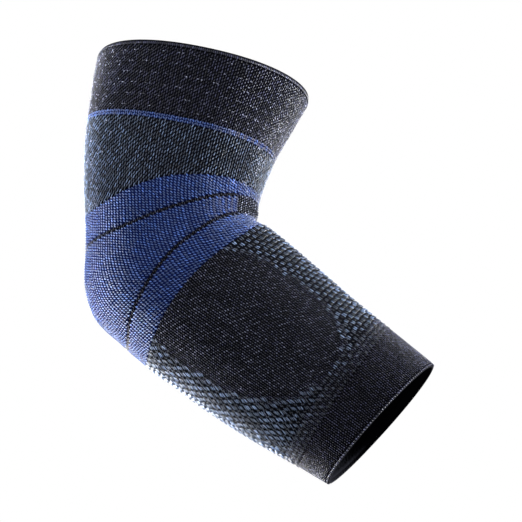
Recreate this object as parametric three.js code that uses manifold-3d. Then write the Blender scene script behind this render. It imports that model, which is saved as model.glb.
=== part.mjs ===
// Elbow brace: a bent knitted compression sleeve, open at both ends, in the form it has when worn.
// Millimetres. The origin is the elbow's pivot, where the axes of the upper arm and the forearm cross.
// +Z runs up the upper arm, +X points the way the forearm bends, and the bend lies in the XZ plane.
// The knit's zones follow each other from the upper arm's rim (place 0) to the forearm's rim.
import * as THREE from 'three';
import { mergeVertices } from 'three/addons/utils/BufferGeometryUtils.js';
import Module from 'manifold-3d';

const wasm = await Module();
wasm.setup();

// The sleeve's axis: a straight leg, the elbow's arc, and a forearm leg that curves back a little
const UPPER_LENGTH = 66;
const ELBOW_RADIUS = 60;
const ELBOW_ANGLE = 65;
const FOREARM_LENGTH = 107;
const FOREARM_SETBACK = 5;

// Half-widths that the section table's shares refer to, one for each leg
const UPPER_HALF_WIDTH = 57;
const ELBOW_HALF_WIDTH = 50;
const FOREARM_HALF_WIDTH = 44;
// 2 would be an ellipse, more is fuller at the corners
const SECTION_FULLNESS = 2.15;

// Wall of the knit, what the relief knit and the gores stand proud of the smooth knit, and the edges
const KNIT_WALL = 1.9;
const RELIEF_HEIGHT = 0.35;
const GORE_HEIGHT = 0.2;
const HEM_BULGE = 0.5;
const UPPER_HEM_WIDTH = 2.7;
const LOWER_HEM_WIDTH = 1.6;
const STRIPE_WIDTH = 3;
const SEAM_WIDTH = 1.9;
// Neighbouring zones are knitted to each other: this fine line is all that parts them
const GAP = 0.3;

// The relief knit in the elbow's crook reaches this far round, in degrees from the elbow's tip
const CROOK_ANGLE = 135;

// The smooth oval on the forearm's front. The gores cut off the part of it that would lie under them,
// so that it ends straight there. Its middle, half-width and lean are in degrees round the sleeve.
const OVAL_UNDER_GORE = 16;
const OVAL_TO_CUFF = 14;
const OVAL_ANGLE = 74;
const OVAL_HALF_SPREAD = 42;
const OVAL_LEAN = 9;
const OVAL_FULLNESS = 2.3;

// The bright stripe's distance from the upper rim at the elbow's tip side, and what it gains at the
// front and back, then the lower cuff's length at that side, and what it gains towards the crook
const STRIPE_DISTANCE = 36;
const STRIPE_DIP = 3.5;
const CUFF_LENGTH = 18;
const CUFF_GAIN = 11;

// Fineness of the faceted walls
const COLUMNS = 48;
const ROW_LENGTH = 7;
const OVAL_SIDES = 36;
const OVAL_RINGS = 3;

// Sections: each is at a share of its leg, and its half-widths are shares of that leg's half-width:
// towards the elbow's tip (outer), towards the crook (inner) and to the front and back (side)
const SECTIONS = [
  { leg: 0, share: 0.00, outer: 1.03, inner: 1.00, side: 0.86 },
  { leg: 0, share: 0.25, outer: 1.02, inner: 0.91, side: 0.83 },
  { leg: 0, share: 0.60, outer: 0.985, inner: 0.79, side: 0.78 },
  { leg: 0, share: 0.90, outer: 0.935, inner: 0.74, side: 0.73 },
  { leg: 1, share: 0.20, outer: 0.975, inner: 0.85, side: 0.80 },
  { leg: 1, share: 0.35, outer: 1.01, inner: 0.82, side: 0.80 },
  { leg: 1, share: 0.50, outer: 1.12, inner: 0.82, side: 0.81 },
  { leg: 1, share: 0.63, outer: 1.16, inner: 0.86, side: 0.82 },
  { leg: 1, share: 0.78, outer: 1.08, inner: 0.90, side: 0.82 },
  { leg: 1, share: 1.00, outer: 1.035, inner: 0.91, side: 0.82 },
  { leg: 2, share: 0.25, outer: 1.17, inner: 1.00, side: 0.92 },
  { leg: 2, share: 0.50, outer: 1.12, inner: 0.97, side: 0.88 },
  { leg: 2, share: 0.75, outer: 1.025, inner: 0.98, side: 0.82 },
  { leg: 2, share: 1.00, outer: 0.92, inner: 1.00, side: 0.77 },
];

// Lines across the gore panel: at each angle round from the elbow's tip, their place on the axis.
// A place is the number of the leg plus the share of that leg.
const GORE_LINES = [
  { angle: 0, top: 1.206, upperSeam: 1.353, lowerSeam: 1.808, end: 1.911 },
  { angle: 30, top: 1.206, upperSeam: 1.353, lowerSeam: 1.754, end: 1.886 },
  { angle: 60, top: 1.147, upperSeam: 1.342, lowerSeam: 1.671, end: 1.837 },
  { angle: 90, top: 1.051, upperSeam: 1.284, lowerSeam: 1.551, end: 1.793 },
  { angle: 120, top: 0.970, upperSeam: 1.181, lowerSeam: 1.450, end: 1.779 },
  { angle: 135, top: 0.956, upperSeam: 1.125, lowerSeam: 1.419, end: 1.750 },
  { angle: 150, top: 0.940, upperSeam: 1.050, lowerSeam: 1.410, end: 1.700 },
  { angle: 180, top: 0.924, upperSeam: 0.985, lowerSeam: 1.410, end: 1.617 },
];

const MATERIALS = {
  darkKnit: new THREE.MeshStandardMaterial({ color: 0x1b1c26, roughness: 0.9, metalness: 0 }),
  reliefKnit: new THREE.MeshStandardMaterial({ color: 0x333b4d, roughness: 0.9, metalness: 0 }),
  blueKnit: new THREE.MeshStandardMaterial({ color: 0x24407f, roughness: 0.85, metalness: 0 }),
  seamKnit: new THREE.MeshStandardMaterial({ color: 0x0f1220, roughness: 0.9, metalness: 0 }),
};

const radians = THREE.MathUtils.degToRad;
const ELBOW_LENGTH = ELBOW_RADIUS * radians(ELBOW_ANGLE);
const PIVOT_HEIGHT = UPPER_LENGTH + ELBOW_RADIUS * Math.tan(radians(ELBOW_ANGLE) / 2);
const HALF_WIDTHS = [UPPER_HALF_WIDTH, ELBOW_HALF_WIDTH, FOREARM_HALF_WIDTH];
const LEGS = [
  { start: 0, length: UPPER_LENGTH, turn: 0 },
  { start: UPPER_LENGTH, length: ELBOW_LENGTH, turn: radians(ELBOW_ANGLE) },
  { start: UPPER_LENGTH + ELBOW_LENGTH, length: FOREARM_LENGTH, turn: -radians(FOREARM_SETBACK) },
];
const TOTAL_LENGTH = UPPER_LENGTH + ELBOW_LENGTH + FOREARM_LENGTH;

// Millimetres along the axis of a place written as leg number plus share
function along(place) {
  const leg = Math.min(Math.floor(place), LEGS.length - 1);
  return LEGS[leg].start + (place - leg) * LEGS[leg].length;
}

// Point and heading on the axis, s millimetres from the upper rim; heading 0 points straight down
function axisAt(s) {
  let point = { x: 0, z: PIVOT_HEIGHT, heading: 0 };
  for (const leg of LEGS) {
    const t = Math.min(Math.max(s - leg.start, 0), leg.length);
    const middle = point.heading + (leg.turn * t) / leg.length / 2;
    const half = (leg.turn * t) / leg.length / 2;
    const chord = half === 0 ? t : (t * Math.sin(half)) / half;
    point = {
      x: point.x + chord * Math.sin(middle),
      z: point.z - chord * Math.cos(middle),
      heading: point.heading + 2 * half,
    };
  }
  return point;
}

// Smooth curve through a table's column, with the mean of the neighbouring slopes at each row.
// A table of angles is mirrored at both ends, so its curve is level there.
function smooth(rows, key, column, x) {
  const last = rows.length - 1;
  const slope = (i) => (rows[i + 1][column] - rows[i][column]) / (rows[i + 1][key] - rows[i][key]);
  const tangent = (i) => {
    if ((i === 0 || i === last) && key === 'angle') return 0;
    if (i === 0) return slope(0);
    if (i === last) return slope(last - 1);
    const before = rows[i][key] - rows[i - 1][key];
    const after = rows[i + 1][key] - rows[i][key];
    return (slope(i - 1) * before + slope(i) * after) / (before + after);
  };
  let i = 0;
  while (i < last - 1 && x >= rows[i + 1][key]) i += 1;
  const step = rows[i + 1][key] - rows[i][key];
  const t = THREE.MathUtils.clamp((x - rows[i][key]) / step, 0, 1);
  const rise = (1 - t) ** 2 * (1 + 2 * t) * rows[i][column] + t ** 2 * (3 - 2 * t) * rows[i + 1][column];
  return rise + step * t * (1 - t) * ((1 - t) * tangent(i) - t * tangent(i + 1));
}

const SECTION_SIZES = SECTIONS.map((row) => ({
  s: LEGS[row.leg].start + row.share * LEGS[row.leg].length,
  outer: row.outer * HALF_WIDTHS[row.leg],
  inner: row.inner * HALF_WIDTHS[row.leg],
  side: row.side * HALF_WIDTHS[row.leg],
}));

// Point of the sleeve's surface: angle in degrees round from the elbow's tip through the front (-Y),
// and height millimetres outside the smooth knit's outer face
function surface(s, angle, height) {
  const axis = axisAt(s);
  const cos = Math.cos(radians(angle));
  const sin = Math.sin(radians(angle));
  const bend = (value) => Math.sign(value) * Math.abs(value) ** (2 / SECTION_FULLNESS);
  const across = smooth(SECTION_SIZES, 's', cos >= 0 ? 'outer' : 'inner', s) + height;
  const side = smooth(SECTION_SIZES, 's', 'side', s) + height;
  const inward = -across * bend(cos);
  return new THREE.Vector3(
    axis.x + Math.cos(axis.heading) * inward,
    -side * bend(sin),
    axis.z + Math.sin(axis.heading) * inward,
  );
}

// Place on the surface that lies distance millimetres further down the sleeve
function shift(s, angle, distance) {
  const probe = 0.5;
  const stretch = surface(s + probe, angle, 0).distanceTo(surface(s - probe, angle, 0)) / (2 * probe);
  return s + distance / stretch;
}

// Zone edges: functions of the angle round the sleeve, the same on the front and on the back
const fold = (angle) => 180 - Math.abs(180 - (((angle % 360) + 360) % 360));
const goreLine = (column) => (angle) => along(smooth(GORE_LINES, 'angle', column, fold(angle)));
const beside = (line, distance) => (angle) => {
  const offset = typeof distance === 'function' ? distance(fold(angle)) : distance;
  return shift(line(angle), angle, offset);
};
const upperRim = () => 0;
const lowerRim = () => TOTAL_LENGTH;
const upperHemLine = () => UPPER_HEM_WIDTH;
const lowerHemLine = () => TOTAL_LENGTH - LOWER_HEM_WIDTH;
const stripeTop = (angle) => STRIPE_DISTANCE + STRIPE_DIP * Math.sin(radians(fold(angle)));
const stripeEnd = beside(stripeTop, STRIPE_WIDTH);
const panelTop = goreLine('top');
const upperSeam = goreLine('upperSeam');
const lowerSeam = goreLine('lowerSeam');
const panelEnd = goreLine('end');
const cuffTop = (angle) => TOTAL_LENGTH - CUFF_LENGTH - (CUFF_GAIN * (1 - Math.cos(radians(angle)))) / 2;

const HALF_GAP = GAP / 2;
const SEAM_SIDE = SEAM_WIDTH / 2 - HALF_GAP;
const SEAM_CLEAR = SEAM_WIDTH / 2 + HALF_GAP;
// Beyond the crook's edge there is no seam, so the gores come right up to the line
const clearOfSeam = (angle) => (angle <= CROOK_ANGLE ? SEAM_CLEAR : HALF_GAP);

// Width of one degree of the surface where a line meets the crook's edge
const degreeAt = (line) => {
  const s = line(CROOK_ANGLE);
  return surface(s, CROOK_ANGLE, 0).distanceTo(surface(s, CROOK_ANGLE + 1, 0));
};

// The angles at which the walls have their corners: round the elbow's tip, round the crook, or both
const CROOK_CLEAR = HALF_GAP / Math.min(degreeAt(upperSeam), degreeAt(lowerSeam));
const arc = (first, last) => {
  const steps = Math.round((COLUMNS * (last - first)) / 360);
  return Array.from({ length: steps + 1 }, (_, step) => first + ((last - first) * step) / steps);
};
const pulledIn = (angles) => [angles[0] + CROOK_CLEAR, ...angles.slice(1, -1), angles.at(-1) - CROOK_CLEAR];
const TIP_ARC = arc(-CROOK_ANGLE, CROOK_ANGLE);
const CROOK_ARC = arc(CROOK_ANGLE, 360 - CROOK_ANGLE);
const WHOLE_TURN = [...TIP_ARC, ...CROOK_ARC.slice(1, -1)];
const ROUND_TIP = pulledIn(TIP_ARC);
const ROUND_CROOK = pulledIn(CROOK_ARC);

// Closed wall between two edges, over a whole turn or over a part of it
function wall({ from, to, height = 0, bulge = 0, depth = KNIT_WALL, angles = WHOLE_TURN }) {
  const open = angles !== WHOLE_TURN;
  const lengths = angles.map((angle) => to(angle) - from(angle));
  const rows = Math.max(1, Math.round(Math.max(...lengths) / ROW_LENGTH)) + (bulge > 0 ? 1 : 0);
  const corners = [];
  const point = (face, row, column) => (face * (rows + 1) + row) * angles.length + (column % angles.length);
  for (const face of [0, 1]) {
    for (let row = 0; row <= rows; row += 1) {
      const t = row / rows;
      for (const angle of angles) {
        const s = from(angle) + t * (to(angle) - from(angle));
        const outside = height + bulge * Math.sin(Math.PI * t);
        corners.push(surface(s, angle, face === 0 ? outside : -depth));
      }
    }
  }
  const faces = [];
  const quad = (a, b, c, d) => faces.push(a, b, c, a, c, d);
  const steps = open ? angles.length - 1 : angles.length;
  for (let column = 0; column < steps; column += 1) {
    for (let row = 0; row < rows; row += 1) {
      const near = [point(0, row, column), point(0, row + 1, column)];
      const next = [point(0, row, column + 1), point(0, row + 1, column + 1)];
      quad(near[0], near[1], next[1], next[0]);
      const nearIn = [point(1, row, column), point(1, row + 1, column)];
      const nextIn = [point(1, row, column + 1), point(1, row + 1, column + 1)];
      quad(nearIn[0], nextIn[0], nextIn[1], nearIn[1]);
    }
    for (const [row, first, second] of [[0, 0, 1], [rows, 1, 0]]) {
      const edge = [point(first, row, column), point(second, row, column)];
      quad(edge[0], point(first, row, column + 1), point(second, row, column + 1), edge[1]);
    }
  }
  if (open) {
    for (let row = 0; row < rows; row += 1) {
      quad(point(0, row, 0), point(1, row, 0), point(1, row + 1, 0), point(0, row + 1, 0));
      quad(point(0, row, steps), point(0, row + 1, steps), point(1, row + 1, steps), point(1, row, steps));
    }
  }
  return solid(corners, faces);
}

// Closed oval plate on the forearm's front: grown by a margin all round, between two heights
function ovalPlate(margin, outside, inside) {
  const top = shift(panelEnd(OVAL_ANGLE), OVAL_ANGLE, -OVAL_UNDER_GORE);
  const end = shift(cuffTop(OVAL_ANGLE), OVAL_ANGLE, -OVAL_TO_CUFF);
  const spread = OVAL_HALF_SPREAD + THREE.MathUtils.radToDeg(margin / FOREARM_HALF_WIDTH);
  const bend = (value) => Math.sign(value) * Math.abs(value) ** (2 / OVAL_FULLNESS);
  const corners = [];
  for (const height of [outside, inside]) {
    corners.push(surface((top + end) / 2, OVAL_ANGLE, height));
    for (let ring = 1; ring <= OVAL_RINGS; ring += 1) {
      for (let side = 0; side < OVAL_SIDES; side += 1) {
        const turn = (2 * Math.PI * side) / OVAL_SIDES;
        const down = (bend(Math.cos(turn)) * ring) / OVAL_RINGS;
        const round = (bend(Math.sin(turn)) * ring) / OVAL_RINGS;
        const s = (top + end) / 2 + down * ((end - top) / 2 + margin);
        corners.push(surface(s, OVAL_ANGLE + OVAL_LEAN * down + spread * round, height));
      }
    }
  }
  const layer = 1 + OVAL_RINGS * OVAL_SIDES;
  const point = (face, ring, side) => face * layer + 1 + (ring - 1) * OVAL_SIDES + (side % OVAL_SIDES);
  const faces = [];
  const quad = (a, b, c, d) => faces.push(a, b, c, a, c, d);
  for (let side = 0; side < OVAL_SIDES; side += 1) {
    faces.push(0, point(0, 1, side), point(0, 1, side + 1));
    faces.push(layer, point(1, 1, side + 1), point(1, 1, side));
    for (let ring = 1; ring < OVAL_RINGS; ring += 1) {
      const near = [point(0, ring, side), point(0, ring + 1, side)];
      quad(near[0], near[1], point(0, ring + 1, side + 1), point(0, ring, side + 1));
      const nearIn = [point(1, ring, side), point(1, ring + 1, side)];
      quad(nearIn[0], point(1, ring, side + 1), point(1, ring + 1, side + 1), nearIn[1]);
    }
    const rim = [point(0, OVAL_RINGS, side), point(0, OVAL_RINGS, side + 1)];
    quad(rim[0], point(1, OVAL_RINGS, side), point(1, OVAL_RINGS, side + 1), rim[1]);
  }
  return solid(corners, faces);
}

function solid(corners, faces) {
  const geometry = new THREE.BufferGeometry().setFromPoints(corners);
  geometry.setIndex(faces);
  return geometry;
}

function toManifold(geometry) {
  const merged = mergeVertices(geometry);
  const vertProperties = new Float32Array(merged.getAttribute('position').array);
  const triVerts = new Uint32Array(merged.getIndex().array);
  return new wasm.Manifold(new wasm.Mesh({ numProp: 3, vertProperties, triVerts }));
}

function cutAway(body, tool) {
  const mesh = toManifold(body).subtract(toManifold(tool)).getMesh();
  const geometry = new THREE.BufferGeometry();
  geometry.setAttribute('position', new THREE.BufferAttribute(mesh.vertProperties, 3));
  geometry.setIndex(new THREE.BufferAttribute(mesh.triVerts, 1));
  return geometry;
}

const brace = new THREE.Group();

function add(name, geometry, material) {
  geometry.computeVertexNormals();
  const mesh = new THREE.Mesh(geometry, material);
  mesh.name = name;
  brace.add(mesh);
}

// Upper arm: rolled hem, smooth cuff, bright stripe and relief knit
function upperArm() {
  const hem = wall({ from: upperRim, to: beside(upperHemLine, -HALF_GAP), bulge: HEM_BULGE });
  const cuff = wall({ from: beside(upperHemLine, HALF_GAP), to: beside(stripeTop, -HALF_GAP) });
  const stripe = wall({
    from: beside(stripeTop, HALF_GAP),
    to: beside(stripeEnd, -HALF_GAP),
    height: GORE_HEIGHT,
  });
  const relief = wall({
    from: beside(stripeEnd, HALF_GAP),
    to: beside(panelTop, -HALF_GAP),
    height: RELIEF_HEIGHT,
  });
  add('upper_hem', hem, MATERIALS.darkKnit);
  add('upper_cuff', cuff, MATERIALS.darkKnit);
  add('accent_stripe', stripe, MATERIALS.blueKnit);
  add('upper_relief_knit', relief, MATERIALS.reliefKnit);
}

// Elbow: three gores with dark seams between them, and the relief knit in the crook
function elbow() {
  const upper = wall({
    from: beside(panelTop, HALF_GAP),
    to: beside(upperSeam, (angle) => -clearOfSeam(angle)),
    height: GORE_HEIGHT,
  });
  const middle = wall({
    from: beside(upperSeam, SEAM_CLEAR),
    to: beside(lowerSeam, -SEAM_CLEAR),
    height: GORE_HEIGHT,
    angles: ROUND_TIP,
  });
  const lower = wall({
    from: beside(lowerSeam, clearOfSeam),
    to: beside(panelEnd, -HALF_GAP),
    height: GORE_HEIGHT,
  });
  const crook = wall({
    from: beside(upperSeam, HALF_GAP),
    to: beside(lowerSeam, -HALF_GAP),
    height: RELIEF_HEIGHT,
    angles: ROUND_CROOK,
  });
  add('gore_upper', upper, MATERIALS.blueKnit);
  add('gore_middle', middle, MATERIALS.blueKnit);
  add('gore_lower', lower, MATERIALS.blueKnit);
  add('crook_relief_knit', crook, MATERIALS.reliefKnit);
  for (const [name, line] of [['gore_seam_upper', upperSeam], ['gore_seam_lower', lowerSeam]]) {
    const seam = wall({ from: beside(line, -SEAM_SIDE), to: beside(line, SEAM_SIDE), angles: ROUND_TIP });
    add(name, seam, MATERIALS.seamKnit);
  }
}

// Forearm: relief knit round the smooth oval, smooth cuff and turned edge
function forearm() {
  const relief = wall({
    from: beside(panelEnd, HALF_GAP),
    to: beside(cuffTop, -HALF_GAP),
    height: RELIEF_HEIGHT,
  });
  const cutterReach = 2 * KNIT_WALL;
  const ovalCutter = ovalPlate(GAP, RELIEF_HEIGHT + cutterReach, -KNIT_WALL - cutterReach);
  const goreCutter = wall({
    from: beside(panelEnd, -2 * OVAL_UNDER_GORE),
    to: beside(panelEnd, HALF_GAP),
    height: cutterReach,
    depth: KNIT_WALL + cutterReach,
  });
  const cuff = wall({ from: beside(cuffTop, HALF_GAP), to: beside(lowerHemLine, -HALF_GAP) });
  const hem = wall({ from: beside(lowerHemLine, HALF_GAP), to: lowerRim, bulge: HEM_BULGE });
  add('forearm_relief_knit', cutAway(relief, ovalCutter), MATERIALS.reliefKnit);
  add('forearm_oval', cutAway(ovalPlate(0, 0, -KNIT_WALL), goreCutter), MATERIALS.darkKnit);
  add('lower_cuff', cuff, MATERIALS.darkKnit);
  add('lower_hem', hem, MATERIALS.darkKnit);
}

upperArm();
elbow();
forearm();

export default brace;
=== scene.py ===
# Elbow brace: yarn, stitches, light and camera for the bent knitted sleeve.
import math
import bpy
import numpy as np
from mathutils import Matrix, Vector


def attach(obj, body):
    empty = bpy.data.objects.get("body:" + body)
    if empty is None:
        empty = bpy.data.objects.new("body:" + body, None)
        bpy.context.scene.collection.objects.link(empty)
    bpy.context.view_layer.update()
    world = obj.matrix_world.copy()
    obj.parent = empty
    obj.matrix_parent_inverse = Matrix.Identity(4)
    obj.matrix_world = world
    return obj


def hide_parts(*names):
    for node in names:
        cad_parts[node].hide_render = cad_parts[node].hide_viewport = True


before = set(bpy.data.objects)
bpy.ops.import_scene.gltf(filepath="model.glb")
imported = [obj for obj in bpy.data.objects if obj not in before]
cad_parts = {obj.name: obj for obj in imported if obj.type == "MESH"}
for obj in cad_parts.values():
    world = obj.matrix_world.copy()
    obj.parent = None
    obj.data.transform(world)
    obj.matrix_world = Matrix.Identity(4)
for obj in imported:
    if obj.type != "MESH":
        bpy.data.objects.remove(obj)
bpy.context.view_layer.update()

bl_info = {
    "name": "Elbow Brace",
    "version": (1, 0, 0),
    "blender": (4, 5, 0),
    "location": "View3D > Sidebar > Elbow Brace",
    "description": "A bent knitted elbow sleeve with its zones of fine, relief and rib knit",
    "category": "Object",
}

MM = 0.001

# Sections of the sleeve: each at a share of its leg of the axis, with half-widths as shares of the leg's
# half-width: outer towards the elbow's tip, inner towards the crook, side to the front and back
SECTIONS = (
    {"leg": 0, "share": 0.00, "outer": 1.03, "inner": 1.00, "side": 0.86},
    {"leg": 0, "share": 0.25, "outer": 1.02, "inner": 0.91, "side": 0.83},
    {"leg": 0, "share": 0.60, "outer": 0.985, "inner": 0.79, "side": 0.78},
    {"leg": 0, "share": 0.90, "outer": 0.935, "inner": 0.74, "side": 0.73},
    {"leg": 1, "share": 0.20, "outer": 0.975, "inner": 0.85, "side": 0.80},
    {"leg": 1, "share": 0.35, "outer": 1.01, "inner": 0.82, "side": 0.80},
    {"leg": 1, "share": 0.50, "outer": 1.12, "inner": 0.82, "side": 0.81},
    {"leg": 1, "share": 0.63, "outer": 1.16, "inner": 0.86, "side": 0.82},
    {"leg": 1, "share": 0.78, "outer": 1.08, "inner": 0.90, "side": 0.82},
    {"leg": 1, "share": 1.00, "outer": 1.035, "inner": 0.91, "side": 0.82},
    {"leg": 2, "share": 0.25, "outer": 1.17, "inner": 1.00, "side": 0.92},
    {"leg": 2, "share": 0.50, "outer": 1.12, "inner": 0.97, "side": 0.88},
    {"leg": 2, "share": 0.75, "outer": 1.025, "inner": 0.98, "side": 0.82},
    {"leg": 2, "share": 1.00, "outer": 0.92, "inner": 1.00, "side": 0.77},
)

# Lines across the gore panel at angles round from the elbow's tip: number of the leg plus share of it
GORE_LINES = (
    {"angle": 0, "top": 1.206, "upper_seam": 1.353, "lower_seam": 1.808, "end": 1.911},
    {"angle": 30, "top": 1.206, "upper_seam": 1.353, "lower_seam": 1.754, "end": 1.886},
    {"angle": 60, "top": 1.147, "upper_seam": 1.342, "lower_seam": 1.671, "end": 1.837},
    {"angle": 90, "top": 1.051, "upper_seam": 1.284, "lower_seam": 1.551, "end": 1.793},
    {"angle": 120, "top": 0.970, "upper_seam": 1.181, "lower_seam": 1.450, "end": 1.779},
    {"angle": 135, "top": 0.956, "upper_seam": 1.125, "lower_seam": 1.419, "end": 1.750},
    {"angle": 150, "top": 0.940, "upper_seam": 1.050, "lower_seam": 1.410, "end": 1.700},
    {"angle": 180, "top": 0.924, "upper_seam": 0.985, "lower_seam": 1.410, "end": 1.617},
)


def length(name, description, millimetres):
    return bpy.props.FloatProperty(
        name=name, description=description, default=millimetres * MM, min=0,
        unit="LENGTH", subtype="DISTANCE")


def angle(name, description, degrees):
    return bpy.props.FloatProperty(
        name=name, description=description, default=math.radians(degrees),
        unit="ROTATION", subtype="ANGLE")


def number(name, description, default):
    return bpy.props.FloatProperty(name=name, description=description, default=default, min=0)


def linear(hex_colour):
    """Linear RGBA of an sRGB hex colour such as 24407f."""
    channels = [int(hex_colour[i:i + 2], 16) / 255 for i in (0, 2, 4)]
    rgb = [c / 12.92 if c <= 0.04045 else ((c + 0.055) / 1.055) ** 2.4 for c in channels]
    return (*rgb, 1.0)


def colour(name, description, hex_colour):
    return bpy.props.FloatVectorProperty(
        name=name, description=description, default=linear(hex_colour), size=4, subtype="COLOR",
        min=0, max=1)


class BraceShape(bpy.types.PropertyGroup):
    """Sizes of the sleeve, the same as the solids have."""
    upper_length: length("Upper leg", "Straight leg of the axis along the upper arm", 66)
    elbow_radius: length("Elbow radius", "Radius of the axis through the elbow", 60)
    elbow_angle: angle("Elbow angle", "Turn of the axis through the elbow", 65)
    forearm_length: length("Forearm leg", "Leg of the axis along the forearm", 107)
    forearm_setback: angle("Setback", "Turn back of the axis along the forearm", 5)
    upper_half_width: length("Upper half-width", "Half-width that the upper sections' shares refer to", 57)
    elbow_half_width: length("Elbow half-width", "Half-width that the elbow sections' shares refer to", 50)
    forearm_half_width: length("Forearm half-width", "Half-width that the forearm's shares refer to", 44)
    fullness: number("Fullness", "Exponent of the sections: 2 is an ellipse", 2.15)
    wall: length("Wall", "Thickness of the smooth knit", 1.9)
    relief_height: length("Relief height", "How far the relief knit stands proud of the smooth knit", 0.35)
    gore_height: length("Gore height", "How far the gores stand proud of the smooth knit", 0.2)
    hem_bulge: length("Hem bulge", "How far the rolled hems stand proud of the smooth knit", 0.5)
    upper_hem: length("Upper hem", "Width of the hem at the upper rim", 2.7)
    lower_hem: length("Lower hem", "Width of the hem at the forearm's rim", 1.6)
    stripe: length("Stripe", "Width of the bright stripe", 3)
    seam: length("Seam", "Width of the dark lines between the gores", 1.9)
    crook_angle: angle("Crook angle", "How far round from the elbow's tip the gores' seams reach", 135)
    oval_under_gore: length("Oval under gore", "How much of the oval the gores cut off", 16)
    oval_to_cuff: length("Oval to cuff", "Distance of the oval from the lower cuff", 14)
    oval_angle: angle("Oval angle", "Middle of the oval round the sleeve", 74)
    oval_half_spread: angle("Oval half-spread", "Half-width of the oval round the sleeve", 42)
    oval_lean: angle("Oval lean", "How far the oval's ends turn round the sleeve", 9)
    oval_fullness: number("Oval fullness", "Exponent of the oval's outline: 2 is an ellipse", 2.3)
    stripe_distance: length("Stripe distance", "Distance of the stripe from the upper rim", 36)
    stripe_dip: length("Stripe dip", "How much lower the stripe runs at the front and back", 3.5)
    cuff_length: length("Cuff length", "Length of the lower cuff at the elbow's tip side", 18)
    cuff_gain: length("Cuff gain", "How much longer the lower cuff is at the crook's side", 11)


class BraceKnit(bpy.types.PropertyGroup):
    """Sizes of the stitches."""
    wale: length("Wale pitch", "Distance between columns of stitches in the upper cuff", 1.3)
    course: length("Course pitch", "Distance between rows of the ground's mesh and of light stitches", 1.3)
    fine_wale: length("Fine wale pitch", "Distance between columns of stitches in the smooth knit", 1.25)
    fine_course: length("Fine course pitch", "Distance between rows of stitches in the smooth knit", 1.4)
    cuff_course: length("Cuff course pitch", "Distance between rows of stitches in the upper cuff", 2.0)
    fleck_wale: length("Fleck pitch", "Distance between columns of the upper cuff's grey flecks", 2.1)
    fleck_course: length("Fleck course", "Distance between rows of the upper cuff's grey flecks", 6.3)
    rib_wale: length("Rib wale pitch", "Distance between columns of stitches in the gores", 1.93)
    rib_course: length("Rib course pitch", "Distance between rows of stitches in the gores", 1.45)
    dash_wale: length("Dash pitch", "Distance between columns of the upper relief's strands", 1.45)
    dash_course: length("Dash course", "Distance between rows of the upper relief's strands", 2.3)
    lozenge_wale: length("Relief wale pitch", "Distance between columns of the forearm's lozenges", 2.6)
    lozenge_course: length("Relief course pitch", "Distance between rows of the forearm's lozenges", 3.0)
    yarn: length("Yarn", "Thickness of the plied yarn as it lies in a stitch", 0.6)
    ground_depth: length("Ground depth", "How deep the ground lies under the stitches", 0.5)
    cuff_lean: angle("Cuff lean", "How far the upper cuff's stitches lean across the sleeve", 13)
    stripe_lean: angle("Stripe lean", "How far the stripe's stitches lean against each other", 24)
    rib_lean: angle("Rib lean", "How far the gores' stitches lean across the sleeve", 46)
    dash_lean: angle("Dash lean", "How far the upper relief's strands lean across the sleeve", 13)
    lozenge_lean: angle("Lozenge lean", "How far the forearm relief's strands lean across the sleeve", 10)
    tuck: angle("Tuck", "How far a stitch's head dips under the next one", 13)
    fade: length("Fade", "Distance over which the relief fades into the smooth knit", 15)
    variation: number("Variation", "How much the dark stitches differ in brightness", 0.75)
    rib_variation: number("Rib variation", "How much the gores' stitches differ in brightness", 0.4)
    relief_variation: number("Relief variation", "How much the relief's strands differ in brightness", 0.65)
    jitter: length("Jitter", "How far a stitch may lie off its place", 0.12)
    wobble: angle("Wobble", "How far a stitch may lie turned", 9)
    seed: bpy.props.IntProperty(
        name="Seed", description="Seed of the stitches' small differences", default=7)


class BraceYarns(bpy.types.PropertyGroup):
    """Colours of the yarns."""
    navy: colour("Navy", "Near black navy yarn of the smooth knit", "34364c")
    fleck: colour("Fleck", "Grey yarn that shows as flecks in the smooth knit", "8a8fa4")
    slate: colour("Slate", "Grey blue yarn of the relief knit", "667a9c")
    royal: colour("Royal", "Royal blue yarn of the gores and the stripe", "395da6")
    ground: colour("Ground", "Elastic ground yarn and the inside of the sleeve", "0d0e14")
    rib_ground: colour("Rib ground", "Elastic ground yarn under the gores", "121c48")
    shine: colour("Shine", "Light that the fuzz of the yarns catches", "d2dae8")


class BraceStage(bpy.types.PropertyGroup):
    """Camera and light."""
    elevation: angle("Elevation", "Camera's height above the horizon, seen from the elbow", -18)
    roll: angle("Roll", "Camera's turn about its own axis", 12.3)
    distance: length("Distance", "Camera's distance from the elbow's pivot", 3120)
    lens: number("Lens", "Focal length in millimetres on a 36 mm wide sensor", 405)
    pivot_x: number("Pivot across", "Pixel on which the elbow's pivot falls, from the left", 165)
    pivot_y: number("Pivot down", "Pixel on which the elbow's pivot falls, from the top", 259)
    floor_drop: length("Floor drop", "Depth of the floor under the elbow's pivot", 1300)
    floor_glow: number("Floor glow", "How bright the pale floor looks by itself", 0.6)
    key: number("Key light", "Power of the softbox behind, below and to the left, in watts", 62)
    rim: number("Rim light", "Power of the small softbox to the right, in watts", 36)
    fill: number("Fill light", "Power of the softbox in front, in watts", 15)
    room: number("Room light", "Brightness of the white room as a light", 0.19)


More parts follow.
